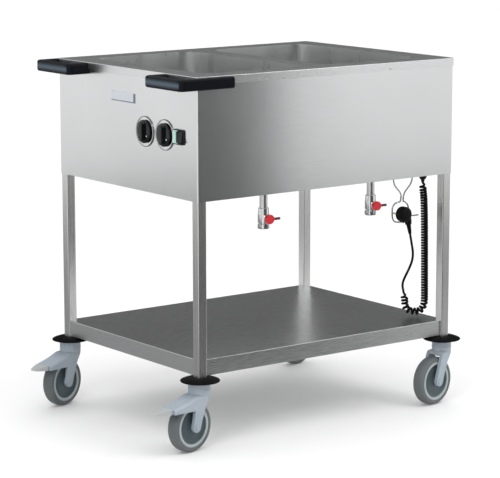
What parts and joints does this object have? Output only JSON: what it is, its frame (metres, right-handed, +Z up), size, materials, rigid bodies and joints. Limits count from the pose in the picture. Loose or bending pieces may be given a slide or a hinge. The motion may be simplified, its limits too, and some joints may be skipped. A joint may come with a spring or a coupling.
{
  "type": "heated food serving trolley",
  "caption": "Wheeled trolley with deep heated pan wells in a sheet casing, an under-shelf, push handles, drain taps, braked swivel casters and a curly mains lead.",
  "frame": {"origin": "on the floor, under the middle of the trolley's outline without its cord", "axes": "+X along the trolley away from the push end, +Y across it towards the side without taps, +Z up"},
  "size_m": [0.9754, 0.675, 0.9],
  "materials": {
    "steel": "brushed stainless sheet and tube",
    "black_plastic": "fine-grained black moulding",
    "chrome": "polished plating",
    "lens": "pale green translucent moulding",
    "red_plastic": "red moulding",
    "grey_plastic": "light grey moulding",
    "fork_plastic": "light blue-grey moulding",
    "tyre": "dark grey rubber",
    "bumper": "black rubber",
    "cord": "black flexible sheath",
    "zinc": "bright zinc",
    "element": "heat-darkened tube",
    "insulation": "mineral wool",
    "inner_plastic": "off-white moulding",
    "brass": "plated brass"
  },
  "bodies": {
    "trolley": {"bumper_free_left": "bumper", "bumper_free_right": "bumper", "bumper_push_left": "bumper", "bumper_push_right": "bumper", "casing_floor": "steel", "casing_shell": "steel", "caster_stems": "zinc", "cord_gland": "black_plastic", "cord_tail": "cord", "curly_cord": "cord", "deck_top": "steel", "dial_rings": "chrome", "drain_pipe_1": "steel", "drain_pipe_2": "steel", "handle_left": "black_plastic", "handle_right": "black_plastic", "handle_screws": "zinc", "heating_elements": "element", "insulation_blankets": "insulation", "lamp_lens": "lens", "leg_free_left": "steel", "leg_free_right": "steel", "leg_push_left": "steel", "leg_push_right": "steel", "lip_screws": "zinc", "name_plate": "chrome", "plug_body": "cord", "plug_holder": "chrome", "plug_pins": "brass", "shelf": "steel", "switch_housing": "black_plastic", "terminal_box": "inner_plastic", "thermostats": "inner_plastic", "valve_body_1": "chrome", "valve_body_2": "chrome", "well_1": "steel", "well_2": "steel"},
    "caster_push_right": {"fork_push_right": "fork_plastic", "axle_push_right": "zinc"},
    "wheel_push_right": {"wheel_push_right": "grey_plastic", "tyre_push_right": "tyre"},
    "pedal_push_right": {"brake_pedal_push_right": "fork_plastic"},
    "caster_push_left": {"fork_push_left": "fork_plastic", "axle_push_left": "zinc"},
    "wheel_push_left": {"wheel_push_left": "grey_plastic", "tyre_push_left": "tyre"},
    "pedal_push_left": {"brake_pedal_push_left": "fork_plastic"},
    "caster_free_right": {"fork_free_right": "fork_plastic", "axle_free_right": "zinc"},
    "wheel_free_right": {"wheel_free_right": "grey_plastic", "tyre_free_right": "tyre"},
    "caster_free_left": {"fork_free_left": "fork_plastic", "axle_free_left": "zinc"},
    "wheel_free_left": {"wheel_free_left": "grey_plastic", "tyre_free_left": "tyre"},
    "knob_1": {"knob_1": "black_plastic"},
    "knob_2": {"knob_2": "black_plastic"},
    "rocker": {"switch_rocker": "black_plastic"},
    "lever_1": {"valve_lever_1": "red_plastic"},
    "lever_2": {"valve_lever_2": "red_plastic"}
  },
  "joints": [
    {"name": "swivel_push_right", "type": "hinge", "parent": "trolley", "child": "caster_push_right", "pos_m": [-0.33478, -0.289, 0.156], "axis": [0, 0, 1], "continuous": true},
    {"name": "roll_push_right", "type": "hinge", "parent": "caster_push_right", "child": "wheel_push_right", "pos_m": [-0.37209, -0.29619, 0.0625], "axis": [-0.1891, 0.982, 0], "continuous": true},
    {"name": "brake_push_right", "type": "hinge", "parent": "caster_push_right", "child": "pedal_push_right", "pos_m": [-0.43592, -0.30848, 0.1115], "axis": [0.1891, -0.982, 0], "range_deg": [0, 10]},
    {"name": "swivel_push_left", "type": "hinge", "parent": "trolley", "child": "caster_push_left", "pos_m": [-0.33478, 0.289, 0.156], "axis": [0, 0, 1], "continuous": true},
    {"name": "roll_push_left", "type": "hinge", "parent": "caster_push_left", "child": "wheel_push_left", "pos_m": [-0.37092, 0.27726, 0.0625], "axis": [-0.309, 0.9511, 0], "continuous": true},
    {"name": "brake_push_left", "type": "hinge", "parent": "caster_push_left", "child": "pedal_push_left", "pos_m": [-0.43274, 0.25717, 0.1115], "axis": [0.309, -0.9511, 0], "range_deg": [0, 10]},
    {"name": "swivel_free_right", "type": "hinge", "parent": "trolley", "child": "caster_free_right", "pos_m": [0.43922, -0.289, 0.156], "axis": [0, 0, 1], "continuous": true},
    {"name": "roll_free_right", "type": "hinge", "parent": "caster_free_right", "child": "wheel_free_right", "pos_m": [0.4018, -0.2956, 0.0625], "axis": [-0.1736, 0.9848, 0], "continuous": true},
    {"name": "swivel_free_left", "type": "hinge", "parent": "trolley", "child": "caster_free_left", "pos_m": [0.43922, 0.289, 0.156], "axis": [0, 0, 1], "continuous": true},
    {"name": "roll_free_left", "type": "hinge", "parent": "caster_free_left", "child": "wheel_free_left", "pos_m": [0.40205, 0.2811, 0.0625], "axis": [-0.2079, 0.9781, 0], "continuous": true},
    {"name": "turn_knob_1", "type": "hinge", "parent": "trolley", "child": "knob_1", "pos_m": [-0.34878, -0.085, 0.751], "axis": [1, 0, 0], "range_deg": [0, 270]},
    {"name": "turn_knob_2", "type": "hinge", "parent": "trolley", "child": "knob_2", "pos_m": [-0.34878, -0.169, 0.751], "axis": [1, 0, 0], "range_deg": [0, 270]},
    {"name": "press_rocker", "type": "hinge", "parent": "trolley", "child": "rocker", "pos_m": [-0.34678, -0.23865, 0.752], "axis": [0, -1, 0], "range_deg": [0, 12]},
    {"name": "turn_lever_1", "type": "hinge", "parent": "trolley", "child": "lever_1", "pos_m": [-0.11778, -0.255, 0.537], "axis": [0, -1, 0], "range_deg": [0, 90]},
    {"name": "turn_lever_2", "type": "hinge", "parent": "trolley", "child": "lever_2", "pos_m": [0.22222, -0.255, 0.537], "axis": [0, -1, 0], "range_deg": [0, 90]}
  ]
}
